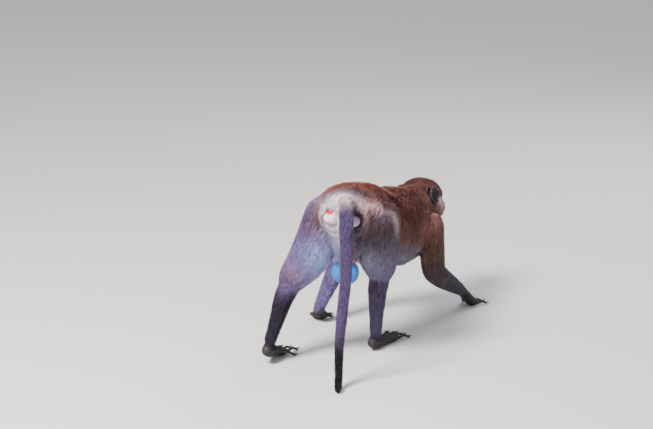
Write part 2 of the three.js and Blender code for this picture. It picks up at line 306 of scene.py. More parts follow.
baseTones = {  # what each part starts as, where it is not as dark as the hands
    # the head starts in its own dark brown, deepened further as painted leaf shade
    "trunk": "russet", "neck": "russet", "head": "shaded crown", "muzzle": "face", "tail": "tail",
    # painted light and shade: the left thigh starts as a sunlit copy of the leg colour, the right
    # as a shaded copy, and the left shank carries a painted shadow
    "thighleft": "sunlit leg", "thighright": "shaded leg", "shankleft": "shadowed shank",
    "shankright": "shaded shank", "upperArmleft": "arm", "upperArmright": "arm",
    # painted light and shade: the left forearm is a sunlit copy, the right a shaded copy
    "forearmleft": "sunlit forearm", "forearmright": "shaded forearm",
}
# Each mark is a tone, then the middle and radii of a patch or the stations and reach of a trail,
# and how strongly it covers what is there
markForm = {
    "back": [  # painted sunlight on a saddle and a painted highlight along the top of the back, then a painted shadow band ahead of the rump and painted shade on the right hip
        ("sunlit back", (22, 4, 342), (36, 52, 22), 0.85),
        ("sunlit back", (-22, 30, 332), (22, 22, 14), 0.6),
        ("dark mottle and shade", (-24, -12, 342), (14, 40, 15), 0.9),
        ("sunlit rim", [
            (-20, 4, 345, 0.7), (-2, -11, 347, 1), (0, -28, 341, 1), (-7, -45, 332, 0.8),
            (-11, -58, 319, 0.5),
        ], 8, 1),
        ("dark mottle and shade", [
            (-46, 9, 337, 0.5), (-38, -4, 341, 0.9), (-27, -18, 341, 1), (-23, -34, 336, 1),
            (-18, -46, 330, 0.5),
        ], 13, 1.5),
        ("dark mottle and shade", (14, -62, 318), (26, 20, 22), 0.8),
    ],
    "shoulders": [
        # painted sunlight on the right shoulder
        ("sunlit shoulder", (292, -60, 232), (26, 30, 26), 0.8),
        ("sunlit shoulder", (240, -62, 212), (32, 24, 30), 0.5),
    ],
    "right thigh": [
        # painted shade over the back and the outer side of the right thigh
        ("shaded thigh", (-34, -66, 256), (36, 26, 38), 1.6),
        ("pale inner leg", (-28, -30, 206), (40, 18, 30), 0.35),
        ("shaded thigh", (32, -86, 250), (46, 24, 56), 0.95),
    ],
    "rump": [  # white, split by a painted shadow of the tail, with pale fur over the right hip that carries painted sunlight
        ("pale inner leg", (-58, 16, 240), (30, 20, 32), 0.9),
        ("tail shadow", (-52, -22, 246), (30, 16, 30), 1.1),
        ("white rump", (-68, 6, 312), (33, 36, 28), 1.8),
        ("white rump", (-60, 16, 262), (30, 20, 30), 0.7),
        ("tail shadow", [
            (-62, -26, 322, 1), (-64, -29, 303, 0.9), (-62, -30, 283, 1), (-54, -31, 258, 1),
            (-42, -36, 240, 0.7),
        ], 14, 1.3),
        ("russet", (6, -64, 308), (26, 20, 15), 1.2),
        ("pale fur and sunlight", [
            (-50, -40, 318, 1), (-42, -36, 326, 1), (-31, -50, 317, 1), (-20, -61, 307, 0.9),
            (-2, -70, 300, 0.45), (1, -80, 289, 0.4), (3, -86, 270, 0.4), (10, -85, 252, 0.1),
        ], 10.5, 1.4),
        ("pale fur and sunlight", [(-46, -42, 316, 1), (-50, -47, 298, 0.9), (-44, -49, 278, 0.4)], 9, 1),
        ("pale fur and sunlight", (-38, 60, 315), (16, 14, 11), 0.45),
        ("pale inner leg", (-60, 44, 214), (40, 36, 42), 1.1),
        ("pale fur and sunlight", (-68, 108, 176), (26, 30, 20), 0.25),
    ],
    "left leg": [
        # painted shade over the left knee and the top of the left thigh
        ("shaded leg", (-52, 112, 165), (26, 28, 26), 0.9),
        ("shaded leg", (-30, 84, 282), (44, 30, 40), 0.8),
        ("flank", (8, 88, 266), (44, 20, 46), 0.6),
    ],
    # pale fur at the top of the tail root, brightened with painted sunlight
    "tail root": [("pale fur and sunlight", (-92, -16, 338), (30, 20, 14), 1.3)],
    # painted leaf shade on the right side of the top of the head
    "nape": [("dark mottle and shade", (371, -20, 264), (18, 16, 14), 0.5)],
}


def faceReach(points):
    # below 1 on the bare face, growing outwards over the head
    _, left, up = headPlaces(points)
    wide = 25.5 - 6 * ramp(-12, -32, up)
    return np.hypot(left / wide, (up + 9) / np.where(up > -9, 24.5, 26))


def faceMask(points):
    forward, _, up = headPlaces(points)
    face = (1 - ramp(0.92, 1.04, faceReach(points))) * ramp(13, 19, forward)
    snout = ramp(38, 45, forward) * ramp(-37, -33, up)
    return np.maximum(face, snout)


def bareMasks(points):
    places = bodyPlaces(points)
    masks = {"face": faceMask(points)}
    masks["blue"] = within(places, pose["scrotum"], (24, 31, 29), 0.12)
    pads = [within(places, middle, (15, 15, 11.5)) for middle in pose["pads"].values()]
    masks["pad"] = np.maximum(*pads)
    masks["red"] = within(places, (-72, 21, 306.5), (16, 7.5, 6), 0.3)
    masks["ear"] = earShadow(points)
    return masks


def earShadow(points, grown=1.0, back=0):
    # 1 where a pinna covers the side of the head
    forward, left, up = headPlaces(points)
    ahead, _, high = pose["ears"]
    deep, tall = earForm["deep"] * grown, earForm["tall"] * grown
    gap = np.hypot((forward - ahead + back) / deep, (up - high) / tall)
    return (1 - ramp(0.9, 1.0, gap)) * ramp(28, 32, np.abs(left))


def markings(points, normals, bare=1):
    forward, _, up = bodyPlaces(points)
    headForward, headLeft, headUp = headPlaces(points)
    headAside = np.abs(headLeft)
    shares, _, _, along = readBones(points)
    colour = np.zeros((len(points), 3))
    for i, part in enumerate(partNames):
        colour += shares[:, i, None] * tones[baseTones.get(part, "hand")]

    def blend(tone, share):
        nonlocal colour
        colour = colour + (tones[tone] - colour) * np.clip(share, 0, 1)[:, None]

    def blendMarks(place):
        for tone, middle, reach, strength in markForm[place]:
            spread = trail if isinstance(middle, list) else nearness
            blend(tone, spread(points, middle, reach) * strength)

    # Underside, flanks and back
    trunk = partOf(shares, "trunk", "neck")
    tilt = normals[:, 2]
    low = ramp(-0.05, -0.75, tilt)
    blend("belly", trunk * low * ramp(320, 270, forward) * 0.9)
    blend("flank", trunk * ramp(0.35, -0.1, tilt) * (1 - low) * 0.5)
    blend("throat", partOf(shares, "neck") * ramp(-0.2, -0.7, tilt) * 0.8)
    blendMarks("back")
    blend("dark mottle and shade", trunk * ripple(points * [1, 0.5, 1], 40, 3).clip(0, 1) * 0.16)
    blendMarks("shoulders")
    blendMarks("right thigh")
    blendMarks("rump")
    # Legs and arms: greyer where they face forwards, a painted shadow down the left shank, and
    # painted shade low on the upper arms
    legs = partOf(shares, "thigh", "shank")
    blend("pale inner leg", legs * ramp(0.05, -0.75, tilt) * 0.2)
    ahead = ramp(0.05, 0.7, -normals[:, 1])
    blend("grey leg", (legs + partOf(shares, "forearm", "tail")) * ahead * 0.75)
    blendMarks("left leg")
    shank = partNames.index("shankleft")
    blend("shadowed shank", shares[:, shank] * ramp(0.02, 0.2, along[:, shank]))
    blend("shaded forearm", partOf(shares, "upperArm") * ramp(150, 105, up) * 0.7)
    blend("arm", partOf(shares, "upperArm") * ramp(0.2, -0.5, tilt) * 0.3)
    # Tail: white under its root, painted shade over its upper part, and dark at its tip
    tail = partOf(shares, "tail")
    blend("shaded leg", tail * ramp(200, 290, up) * 0.5)
    blend("tail tip", tail * ramp(118, 55, up))
    blend("white rump", tail * ramp(-92, -60, forward) * ramp(290, 300, up) * 0.9)
    blendMarks("tail root")
    # Head: a pale band over the brow, and whiskers that flare back over each cheek
    head = partOf(shares, "head", "muzzle")
    around = faceReach(points)
    temple = ramp(2.1, 1.5, around) * ramp(-8, 12, headForward)
    blend("temple", head * temple * ramp(16, 4, headUp) * 0.6)
    blend("brow band", head * ramp(1.42, 1.28, around) * ramp(14, 22, headForward))
    cheek = ramp(8, -4, headUp) * ramp(-14, -2, headForward)
    blend("cheek", head * cheek * ramp(16, 24, headAside) * 0.9)
    blend("throat", head * ramp(-24, -33, headUp) * ramp(60, 40, headForward))
    blend("hand", partOf(shares, "foot", "hand") * 1.6)
    # painted shade behind each ear
    shadeBehindEars = head * hump((headForward + 22) / 13, (headUp - 15) / 18)
    blend("dark mottle and shade", shadeBehindEars * ramp(24, 32, headAside) * 0.8)
    blendMarks("nape")
    rear = hump((headForward - 1) / 16, (headUp + 12) / 17)
    blend("rear cheek", rear * ramp(22, 32, headAside) * 1.1)
    # Bare skin
    masks = bareMasks(points)
    # painted shade on the skin under each ear
    blend("dark mottle and shade", masks["ear"])
    blend("face", masks["face"])
    blend("blue skin", masks["blue"] * bare)
    blend("pink pad", masks["pad"] * bare)
    # painted shade over the right sitting pad, which lies in the tail's shadow
    dusk = within(bodyPlaces(points), pose["pads"]["right"], (17, 17, 13))
    blend("shaded pad", dusk * bare * 0.7)
    blend("red skin", masks["red"] * bare)
    return colour


# Skin

coatInset = 0.82  # how much of the coat's depth the skin lies inside the outline, as tufts thin out
skinForm = {
    "voxel": 2.0, "firstRounds": 5, "bodyRounds": 34, "lastRounds": 12, "sinkSteps": 5,
    "kept": 0.36, "facePasses": 2, "faceBox": (19, 27, -42, 17),
    "earStump": (8, 15, 18), "earStumpIn": 7, "earDip": 5,
}


def linked(name, data):
    item = bpy.data.objects.new(name, data)
    bpy.context.scene.collection.objects.link(item)
    return item


def modified(item):
    # the mesh that the item's modifiers make, in place of the item
    made = item.evaluated_get(bpy.context.evaluated_depsgraph_get())
    mesh = bpy.data.meshes.new_from_object(made)
    bpy.data.objects.remove(item)
    return mesh


def settled(shell, mesh):
    shell.to_mesh(mesh)
    shell.free()
    return mesh


def pieceFrom(name, points, triangles):
    mesh = bpy.data.meshes.new(name)
    mesh.vertices.add(len(points))
    mesh.vertices.foreach_set("co", np.asarray(points, np.float32).ravel())
    mesh.loops.add(triangles.size)
    mesh.loops.foreach_set("vertex_index", np.asarray(triangles, np.int32).ravel())
    mesh.polygons.add(len(triangles))
    mesh.polygons.foreach_set("loop_start", np.arange(0, triangles.size, 3, dtype=np.int32))
    mesh.update(calc_edges=True)
    mesh.shade_smooth()
    return linked(name, mesh)


def readMesh(mesh):
    points = np.empty(len(mesh.vertices) * 3, np.float32)
    mesh.vertices.foreach_get("co", points)
    pairs = np.empty(len(mesh.edges) * 2, np.int32)
    mesh.edges.foreach_get("vertices", pairs)
    return points.reshape(-1, 3).astype(float), pairs.reshape(-1, 2)


def normalsAt(mesh, points):
    mesh.vertices.foreach_set("co", points.astype(np.float32).ravel())
    mesh.update()
    normals = np.empty(len(points) * 3, np.float32)
    mesh.vertex_normals.foreach_get("vector", normals)
    return normals.reshape(-1, 3).astype(float)


def relax(values, pairs, rounds, share):
    # moves each value towards the mean of its neighbours
    count = len(values)
    links = np.bincount(pairs.ravel(), minlength=count)[:, None]
    a, b = pairs.T
    for _ in range(rounds):
        total = [np.bincount(a, v[b], count) + np.bincount(b, v[a], count) for v in values.T]
        values = values + np.reshape(share, (-1, 1)) * (np.stack(total, 1) / links - values)
    return values


def smoothed(points, pairs, rounds, share):
    # smooths without shrinking: each round's pull is pushed back a little further
    for _ in range(rounds):
        points = relax(points, pairs, 1, 0.5 * share)
        points = relax(points, pairs, 1, -0.52 * share)
    return points


def rawSkin():
    shell = bmesh.new()
    for name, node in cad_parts.items():
        if not name.startswith("ear_"):
            shell.from_mesh(node.data)
    ahead, aside, high = pose["ears"]
    stump = Matrix.Diagonal((*(size * mm for size in skinForm["earStump"]), 1))
    for way in sides.values():  # fills the place that each ear leaves
        middle = onHead(ahead, way * (aside - skinForm["earStumpIn"]), high)
        grow = Matrix.Translation(Vector(middle)) @ Matrix(headTurn).to_4x4() @ stump
        bmesh.ops.create_uvsphere(shell, u_segments=24, v_segments=16, radius=1, matrix=grow)
    bmesh.ops.remove_doubles(shell, verts=shell.verts, dist=1e-6)
    return evenShell(settled(shell, bpy.data.meshes.new("rawSkin")))


def evenShell(mesh):
    # one closed surface of even small faces, without the folds and inner walls
    raw = linked("rawSkin", mesh)
    remesh = raw.modifiers.new("remesh", "REMESH")
    remesh.mode = "VOXEL"
    remesh.voxel_size = skinForm["voxel"] * mm
    return modified(raw)


def coatDepth(points, flare=0):
    # flare adds what the cheek whiskers stand out by, over the depth that the skin lies at
    shares, _, depth, _ = readBones(points)
    headForward, headLeft, headUp = headPlaces(points)
    cheek = partOf(shares, "head") * ramp(20, 32, np.abs(headLeft))
    cheek = cheek * ramp(-18, -4, headForward)
    depth = depth + flare * cheek * ramp(30, 8, headUp)
    for way in sides.values():  # the ruff is full below each cheek
        depth = depth + flare * 1.3 * nearness(points, (314, 47 * way, 206), (26, 18, 18))
    for name, mask in bareMasks(points).items():
        if name != "ear":
            depth = depth * (1 - mask)
    places = bodyPlaces(points)
    for middle in pose["pads"].values():
        depth = depth * (1 - 0.6 * within(places, middle, (26, 24, 21), 0.5))
    return depth


def fineShare(points):
    # 1 on the face and paws, whose small shapes stay
    paws = partOf(readBones(points)[0], "foot", "hand")
    return np.clip(paws * 1.5 + faceMask(points) * 0.8, 0, 1)


def layDown(mesh):
    # sinks the skin from the outline of the coat to where the hair grows
    points, pairs = readMesh(mesh)
    fine = fineShare(points)
    points = smoothed(points, pairs, skinForm["firstRounds"], np.ones(len(points)))
    points = smoothed(points, pairs, skinForm["bodyRounds"], 1 - fine)
    depth = (coatDepth(points) + skinForm["earDip"] * earShadow(points, 0.95))[:, None]
    depth = relax(depth, pairs, 8, 0.5)
    for _ in range(skinForm["sinkSteps"]):
        normals = unit(relax(normalsAt(mesh, points), pairs, 8, 0.5))
        points = points - normals * depth * coatInset * mm / skinForm["sinkSteps"]
        points = relax(points, pairs, 1, 0.3 * (1 - fine))
    normalsAt(mesh, points)
    mesh = evenShell(mesh)
    points, pairs = readMesh(mesh)
    points = smoothed(points, pairs, skinForm["lastRounds"], 1 - 0.85 * fineShare(points))
    normalsAt(mesh, points)
    return mesh


def refineFace(mesh):
    # splits the faces of the mesh finer over the bare face, for its lids and lips
    near, wide, low, high = skinForm["faceBox"]
    for turn in range(skinForm["facePasses"]):
        points, _ = readMesh(mesh)
        forward, left, up = headPlaces(points)
        spare = 2 - 2 * turn
        inside = (forward > near - spare) & (np.abs(left) < wide + spare)
        inside &= (up > low - spare) & (up < high + spare)
        shell = bmesh.new()
        shell.from_mesh(mesh)
        shell.verts.ensure_lookup_table()
        edges = [e for e in shell.edges if inside[e.verts[0].index] and inside[e.verts[1].index]]
        bmesh.ops.subdivide_edges(shell, edges=edges, cuts=1, use_grid_fill=True)
        points, pairs = readMesh(settled(shell, mesh))
        forward, left, up = headPlaces(points)
        soft = ramp(near - 4, near, forward) * (np.abs(left) < wide + 4) * (up < high + 4)
        points = relax(points, pairs, 3, 0.5 * soft)
        normalsAt(mesh, points)


def thinCovered(mesh):
    # the skin under deep coat can be coarse, the bare skin stays fine
    points, _ = readMesh(mesh)
    depth = coatDepth(points)
    thinned = linked("thinned", mesh)
    group = thinned.vertex_groups.new(name="covered")
    for level in range(1, 9):
        chosen = np.flatnonzero(np.round(8 * ramp(1.2, 3.5, depth)) == level)
        group.add(chosen.tolist(), level / 8, "REPLACE")
    thin = thinned.modifiers.new("thin", "DECIMATE")
    thin.ratio = skinForm["kept"]
    thin.vertex_group = "covered"
    thin.vertex_group_factor = 1.0
    return modified(thinned)


faceForm = {
    "lidThick": 1.15, "openWide": 0.8, "openTop": 0.5, "openBottom": 0.43, "tilt": 0.07,
    "crease": 0.75, "lowCrease": 0.35, "outward": 8, "slim": 0.34, "mouth": -26.5,
    "mouthBack": 37, "nostrils": (62, 3.2, -15),
}


def shapeLids(points):
    # draws the skin round each eyeball into two lids that meet at corners
    form = faceForm
    size = pose["eyeRadius"]
    turn = math.radians(form["outward"])
    for side, way in sides.items():
        centre = eyeMiddles[side]
        offset = (points - centre) / mm @ headTurn
        ahead, out, up = -offset[:, 1], offset[:, 0] * way, offset[:, 2]
        front = ahead * math.cos(turn) + out * math.sin(turn)
        beside = out * math.cos(turn) - ahead * math.sin(turn)
        reach = np.linalg.norm(offset, axis=1)
        across = np.arctan2(beside, front) / form["openWide"]
        rise = np.arctan2(up, np.hypot(front, beside)) - form["tilt"] * across
        arch = np.clip(1 - across**2, 0, 1)
        above = rise - form["openTop"] * arch**0.75
        below = -form["openBottom"] * arch**0.9 - rise
        corner = np.hypot((np.abs(across) - 1) * form["openWide"], rise)
        gap = size * np.where(np.abs(across) < 1, np.maximum(above, below), corner)
        lid = size - 1.5 + (1.5 + form["lidThick"]) * ramp(-0.55, 0.45, gap)
        lid += 0.16 * np.clip(gap, 0, 9)
        # A crease over the upper lid, and a shallower one under the lower lid
        lid -= form["crease"] * hump((gap - 3.3) / 0.75) * ramp(-0.1, 0.25, rise)
        lid -= form["lowCrease"] * hump((gap - 3.0) / 0.7) * ramp(0.05, -0.25, rise)
        share = ramp(7.5, 3.4, gap) * (front > -1) * (reach < 23)
        target = reach + (lid - reach) * share
        points = centre + (points - centre) * (target / np.maximum(reach, 1e-6))[:, None]
    return points


def sculptFace(mesh):
    form = faceForm
    points, pairs = readMesh(mesh)
    forward, left, up = headPlaces(points)
    root = ramp(11, 7, np.abs(left)) * ramp(-3, 1, up) * ramp(17, 13, up)
    points = relax(points, pairs, 24, 0.5 * root * ramp(20, 24, forward))
    # The muzzle is narrow along its top and broad at the lips
    forward, left, up = headPlaces(points)
    slim = ramp(30, 40, forward) * ramp(-24, -9, up) * form["slim"]
    slim += ramp(34, 48, forward) * ramp(-40, -24, up) * 0.08
    aside = headTurn @ axes(0, 1, 0)
    points = points - (left * slim * mm)[:, None] * aside
    points = shapeLids(points)
    normals = normalsAt(mesh, points)
    forward, left, up = headPlaces(points)
    aside = np.abs(left)
    out, nostril, level = form["nostrils"]
    slant = (aside - nostril) - 0.5 * (up - level)
    line = form["mouth"] + 0.0045 * np.clip(out - forward, 0, 40) ** 2  # rises to its corners
    jaw = (form["mouthBack"] - 4, form["mouthBack"])
    fold = aside - (7 + 0.34 * (62 - forward))
    # Height in mm, how many widths each point lies from the middle, and where it fades in
    shapes = {
        "bridge": (1.0, (left / 3.6, (up - 1) / 9), (26, 36)),
        "wings": (1.5, ((aside - nostril - 2.2) / 1.9, (up - level) / 3.6, (forward - out) / 6)),
        "nose tip": (0.8, (left / 1.4, (up - level - 1) / 4, (forward - out) / 6)),
        "nostrils": (-5.6, (slant / 1.05, (up - level) / 2.3, (forward - out) / 6)),
        "groove": (-0.8, (left / 0.8, (up - level + 5) / 3, (forward - out) / 8)),
        "mouth": (-2.5, ((up - line) / 0.7,), jaw),
        "upper lip": (1.0, ((up - line - 2.6) / 1.7,), jaw),
        "lower lip": (0.9, ((up - line + 2.5) / 1.6,), jaw),
        "chin": (-0.8, ((up - line + 6.5) / 1.6, left / 7), (50, 56)),
        "brow": (1.4, ((up - 13.5) / 3.4, (aside - 14) / 13), (20, 28)),
        "frown": (-0.7, ((aside - 2.6) / 1.0, (up - 10) / 5), (26, 32)),
        "folds": (-1.1, (fold / 1.2, (up + 15) / 6), (36, 42)),
    }
    for k in range(3):
        wrinkle = up + 9.5 + 3.4 * k - 0.25 * aside
        shapes[f"wrinkle {k}"] = (-0.3, (wrinkle / 0.7, (aside - 7) / 4.5), (38, 44))
    push = np.zeros(len(points))
    for height, gaps, *fade in shapes.values():
        push += height * hump(*gaps) * (ramp(*fade[0], forward) if fade else 1)
    near = ramp(17, 22, forward)
    points = points + normals * (push * near * mm)[:, None]
    fine = (forward > 15) & (aside < 30)
    points = relax(points, pairs, 1, 0.25 * fine)
    normalsAt(mesh, points)


def closedTube(points, start, rings, around, first, last):
    # outward faces of a stack of rings, closed by the points numbered first and last
    k = np.arange(around)
    after = (k + 1) % around
    faces = [np.stack([np.full(around, first), start + after, start + k], 1)]
    for i in range(rings - 1):
        a, b = start + i * around + k, start + i * around + after
        faces += [np.stack([a, b, b + around], 1), np.stack([a, b + around, a + around], 1)]
    end = start + (rings - 1) * around
    faces = np.concatenate(faces + [np.stack([end + k, end + after, np.full(around, last)], 1)])
    corners = points[faces]
    volume = (corners[:, 0] * np.cross(corners[:, 1], corners[:, 2])).sum()
    return faces if volume > 0 else faces[:, ::-1]


def pinna(way):
    # a cupped ear: hollow at its front, a ridge that forks round it, and a rim that curls in
    ahead, aside, high = pose["ears"]
    middle = onHead(ahead, way * aside, high)
    mouth = unit(onHead(ahead + 1.5, way * (aside + 9), high + 1.2) - middle)
    upward = onHead(math.sin(math.radians(earForm["lean"])), 0, 1) - onHead(0, 0, 0)
    upward = unit(upward - mouth * (upward @ mouth))
    backward = np.cross(upward, mouth) * way
    turns = np.arange(earForm["around"]) / earForm["around"] * 2 * math.pi
    behind = 0.5 + 0.5 * np.cos(turns - 0.5)  # 1 at the back edge, 0 at the cheek
    outline = 1 + 0.07 * hump((turns - 1.0) / 0.55) - 0.04 * hump((turns - 3.3) / 0.7)
    narrow = 1 - 0.2 * ramp(0.1, -1, np.sin(turns))
    rim = 1.0 + 3.0 * behind
    curl = ramp(0.15, 0.6, behind)

    def dish(radius):
        x, z = radius * np.cos(turns), radius * np.sin(turns)
        hollow = np.hypot((x + 0.16) / 0.4, (z + 0.1) / 0.5)
        ring = np.hypot(x + 0.1, z * 0.86)
        height = -1.6 + 1.0 * radius**2 - 4.6 * np.exp(-(hollow**3))
        ridge = 2.4 * hump((ring - 0.6) / 0.09)
        height += ridge * ramp(-0.35, 0.05, x + 0.25 * z + 0.1)
        for rise, across, wide, up, tall in earForm["folds"]:
            height += rise * hump((x - across) / wide, (z - up) / tall)
        return height

    edge = dish(0.84)
    rings = [(radius * outline, dish(radius)) for radius in np.linspace(0.03, 0.84, 15)]
    for curled, plain, share in earForm["rim"]:
        radius = curled * curl + plain * (1 - curl)
        rings.append((radius * outline, edge + (rim - edge) * share))
    for radius, height in earForm["back"]:
        rings.append((radius * outline, rim * 0.75 + height))
    # Painted shade: the ear is darker down in its hollow and lighter up on its rim
    shade = [0.45 + 0.75 * ramp(-5, 2.5, height + 0 * turns) for _, height in rings]
    points = []
    for radius, height in rings:
        x = earForm["deep"] * radius * np.cos(turns) * narrow
        z = earForm["tall"] * radius * np.sin(turns)
        lift = x[:, None] * backward + z[:, None] * upward + height[:, None] * mouth
        points.append(middle + lift * mm)
    points = np.concatenate(points + [points[0].mean(0)[None], points[-1].mean(0)[None]])
    inner = len(rings) * len(turns)
    faces = closedTube(points, 0, len(rings), len(turns), inner, inner + 1)
    return points, faces, np.concatenate(shade + [[0.45, 1]])


def trianglesOf(mesh):
    shell = bmesh.new()
    shell.from_mesh(mesh)
    bmesh.ops.triangulate(shell, faces=shell.faces)
    settled(shell, mesh)
    corners = np.empty(len(mesh.polygons) * 3, np.int32)
    mesh.loops.foreach_get("vertex_index", corners)
    return corners.reshape(-1, 3)


def setColours(piece, name, colours):
    layer = piece.data.color_attributes.new(name, "FLOAT_COLOR", "POINT")
    full = np.ones((len(colours), 4), np.float32)
    full[:, :3] = colours
    layer.data.foreach_set("color", full.ravel())


skinMesh = rawSkin()
print("skin: even shell of", len(skinMesh.vertices), "points")
skinMesh = thinCovered(layDown(skinMesh))
print("skin: laid down, with", len(skinMesh.vertices), "points kept")
refineFace(skinMesh)
sculptFace(skinMesh)
skinTriangles = trianglesOf(skinMesh)
skinPoints, skinPairs = readMesh(skinMesh)
skinNormals = unit(relax(normalsAt(skinMesh, skinPoints), skinPairs, 6, 0.5))
print("skin: face shaped, with", len(skinTriangles), "triangles")


def buildSkin():
    points, faces, shades = skinPoints, skinTriangles, []
    for way in sides.values():
        earPoints, earFaces, earShade = pinna(way)
        faces = np.concatenate([faces, earFaces + len(points)])
        points = np.concatenate([points, earPoints])
        shades.append(earShade)
    skin = pieceFrom("skin", points, faces)
    normals = normalsAt(skin.data, points)
    isEar = np.arange(len(points)) >= len(skinPoints)
    masks = bareMasks(points)
    bare = np.maximum.reduce([mask for name, mask in masks.items() if name != "ear"])
    paws = partOf(readBones(points)[0], "foot", "hand")
    bare = np.maximum(bare, np.clip(paws * 1.4, 0, 1) * 0.8)
    bare[isEar] = 1
    colours = markings(points, normals)
    colours *= (0.7 + 0.3 * bare)[:, None]  # painted shade under the coat, which hides the gaps
    ring = ramp(1.22, 1.08, faceReach(points)) * ramp(10, 16, headPlaces(points)[0])
    colours += (tones["face"] - colours) * ring[:, None]
    # the ears carry that painted shade
    colours[isEar] = tones["ear"] * np.concatenate(shades)[:, None] * 1.05
    setColours(skin, "markings", colours)
    glossy = masks["blue"] * 0.5 + masks["pad"] * 0.3 + masks["face"] * 0.15
    layer = skin.data.attributes.new("glossy", "FLOAT", "POINT")
    layer.data.foreach_set("value", glossy.astype(np.float32))
    return skin


# Materials


def addNode(tree, kind, settings, **links):
    node = tree.nodes.new("ShaderNode" + kind)
    for key, value in settings.items():
        if key in node.inputs:
            node.inputs[key].default_value = value
        else:
            setattr(node, key, value)
    for key, source in links.items():
        tree.links.new(source, node.inputs[key.replace("_", " ")])
    return node


def newMaterial(name):
    material = bpy.data.materials.new(name)
    material.use_nodes = True
    tree = material.node_tree
    tree.nodes.clear()
    return material, tree


def finishMaterial(tree, shader):
    output = addNode(tree, "OutputMaterial", {})
    tree.links.new(shader.outputs[0], output.inputs["Surface"])


def plainMaterial(name, settings, layer=None):
    # one finish all over, tinted by a colour layer where there is one
    material, tree = newMaterial(name)
    links = {}
    if layer:
        tint = addNode(tree, "Attribute", {"attribute_name": layer})
        links["Base_Color"] = tint.outputs["Color"]
    finishMaterial(tree, addNode(tree, "BsdfPrincipled", settings, **links))
    return material


skinFinish = {"blotch": 0.006, "crease": 0.0014, "creaseDeep": 0.00022, "dry": 0.62, "sleek": 0.34}


def monkeySkin():
    # Bare primate skin: leathery and dry, faintly greasy on the muzzle, and smooth on the blue and
    # pink parts. Fine creases about 1.4 mm apart break up its soft highlights.
    material, tree = newMaterial("creased bare skin")

    def add(kind, settings, **links):
        return addNode(tree, kind, settings, **links)

    place = add("TexCoord", {}).outputs["Object"]
    tone = add("Attribute", {"attribute_name": "markings"}).outputs["Color"]
    gloss = add("Attribute", {"attribute_name": "glossy"}).outputs["Fac"]
    blotch = add("TexNoise", {"Scale": 1 / skinFinish["blotch"], "Detail": 4.0}, Vector=place)
    span = {"From Min": 0.3, "From Max": 0.7, "To Min": 0.86, "To Max": 1.12}
    shade = add("MapRange", span, Value=blotch.outputs["Fac"]).outputs["Result"]
    tinted = add("VectorMath", {"operation": "SCALE"}, Vector=tone, Scale=shade)
    span = {"To Min": skinFinish["dry"], "To Max": skinFinish["sleek"], "From Max": 0.6}
    rough = add("MapRange", span, Value=gloss)
    cells = {"feature": "DISTANCE_TO_EDGE", "Scale": 1 / skinFinish["crease"]}
    creases = add("TexVoronoi", cells, Vector=place).outputs["Distance"]
    flat = add("MapRange", {"From Max": 0.16}, Value=creases).outputs["Result"]
    bump = add("Bump", {"Strength": 0.35, "Distance": skinFinish["creaseDeep"]}, Height=flat)
    shader = add(
        "BsdfPrincipled", {"IOR": 1.45}, Base_Color=tinted.outputs["Vector"],
        Roughness=rough.outputs["Result"], Normal=bump.outputs["Normal"],
    )
    finishMaterial(tree, shader)
    return material


def guardHair():
    # Keratin guard hair: banded, with painted shade at the roots and lighter ticked tips, matt in
    # the mass with a soft sheen along the lie.
    return plainMaterial("banded guard hair", {
        "IOR": 1.5, "Roughness": 0.62, "Specular IOR Level": 0.2, "Sheen Weight": 0.03,
        "Sheen Roughness": 0.5,
    }, "coat")


# Coat

mostTufts = 19900  # in one piece, at ten triangles each
coatForm = {  # the parts that each piece covers, the width of its tufts in mm, and how many
    "coatHead": (("head", "muzzle"), 0.66, 19900),
    "coatNeck": (("neck",), 0.9, 11000),
    "coatTrunk": (("trunk",), 1.05, 59600),
    "coatLeftLeg": (("thighleft", "shankleft"), 0.88, 19900),
    "coatRightLeg": (("thighright", "shankright"), 0.88, 19900),
    "coatArms": (("upperArm", "forearm"), 0.88, 19900),
    "coatTail": (("tail",), 0.72, 14000),
    "coatPaws": (("foot", "hand"), 0.6, 10000),
}
tuftForm = {  # length and lift go by the coat's depth, and the rest is in mm or shares
    "length": 2.3, "lengthMore": 1.4, "lift": (0.68, 1.05), "vary": (0.75, 1.25),
    "thickVary": (0.75, 1.3), "flare": 4.5, "clump": 9, "clumpReach": (9, 3), "pull": 0.28,
    "root": 0.5, "rise": 0.74, "taper": 0.82, "grizzle": 0.13, "tip": 1.22, "patch": 0.003,
}
lieForm = {
    "hang": 0.55, "headSpread": 0.85, "fall": 1.4, "padParting": 1.1, "swing": 0.2, "flick": 0.13,
}


def treeOf(points):
    tree = KDTree(len(points))
    for i, point in enumerate(points):
        tree.insert(point, i)
    tree.balance()
    return tree


def nearestIn(tree, points):
    return np.fromiter((tree.find(p)[1] for p in points), np.int64, len(points))


def ontoSkin(tree, points):
    # drops points onto the skin, and gives its normals there
    near = nearestIn(tree, points)
    normals = skinNormals[near]
    gaps = ((points - skinPoints[near]) * normals).sum(1, keepdims=True)
    return points - normals * gaps, normals


def facets(triangles):
    corners = skinPoints[triangles]
    cross = np.cross(corners[:, 1] - corners[:, 0], corners[:, 2] - corners[:, 0])
    return np.linalg.norm(cross, axis=1) / 2, corners.mean(1)


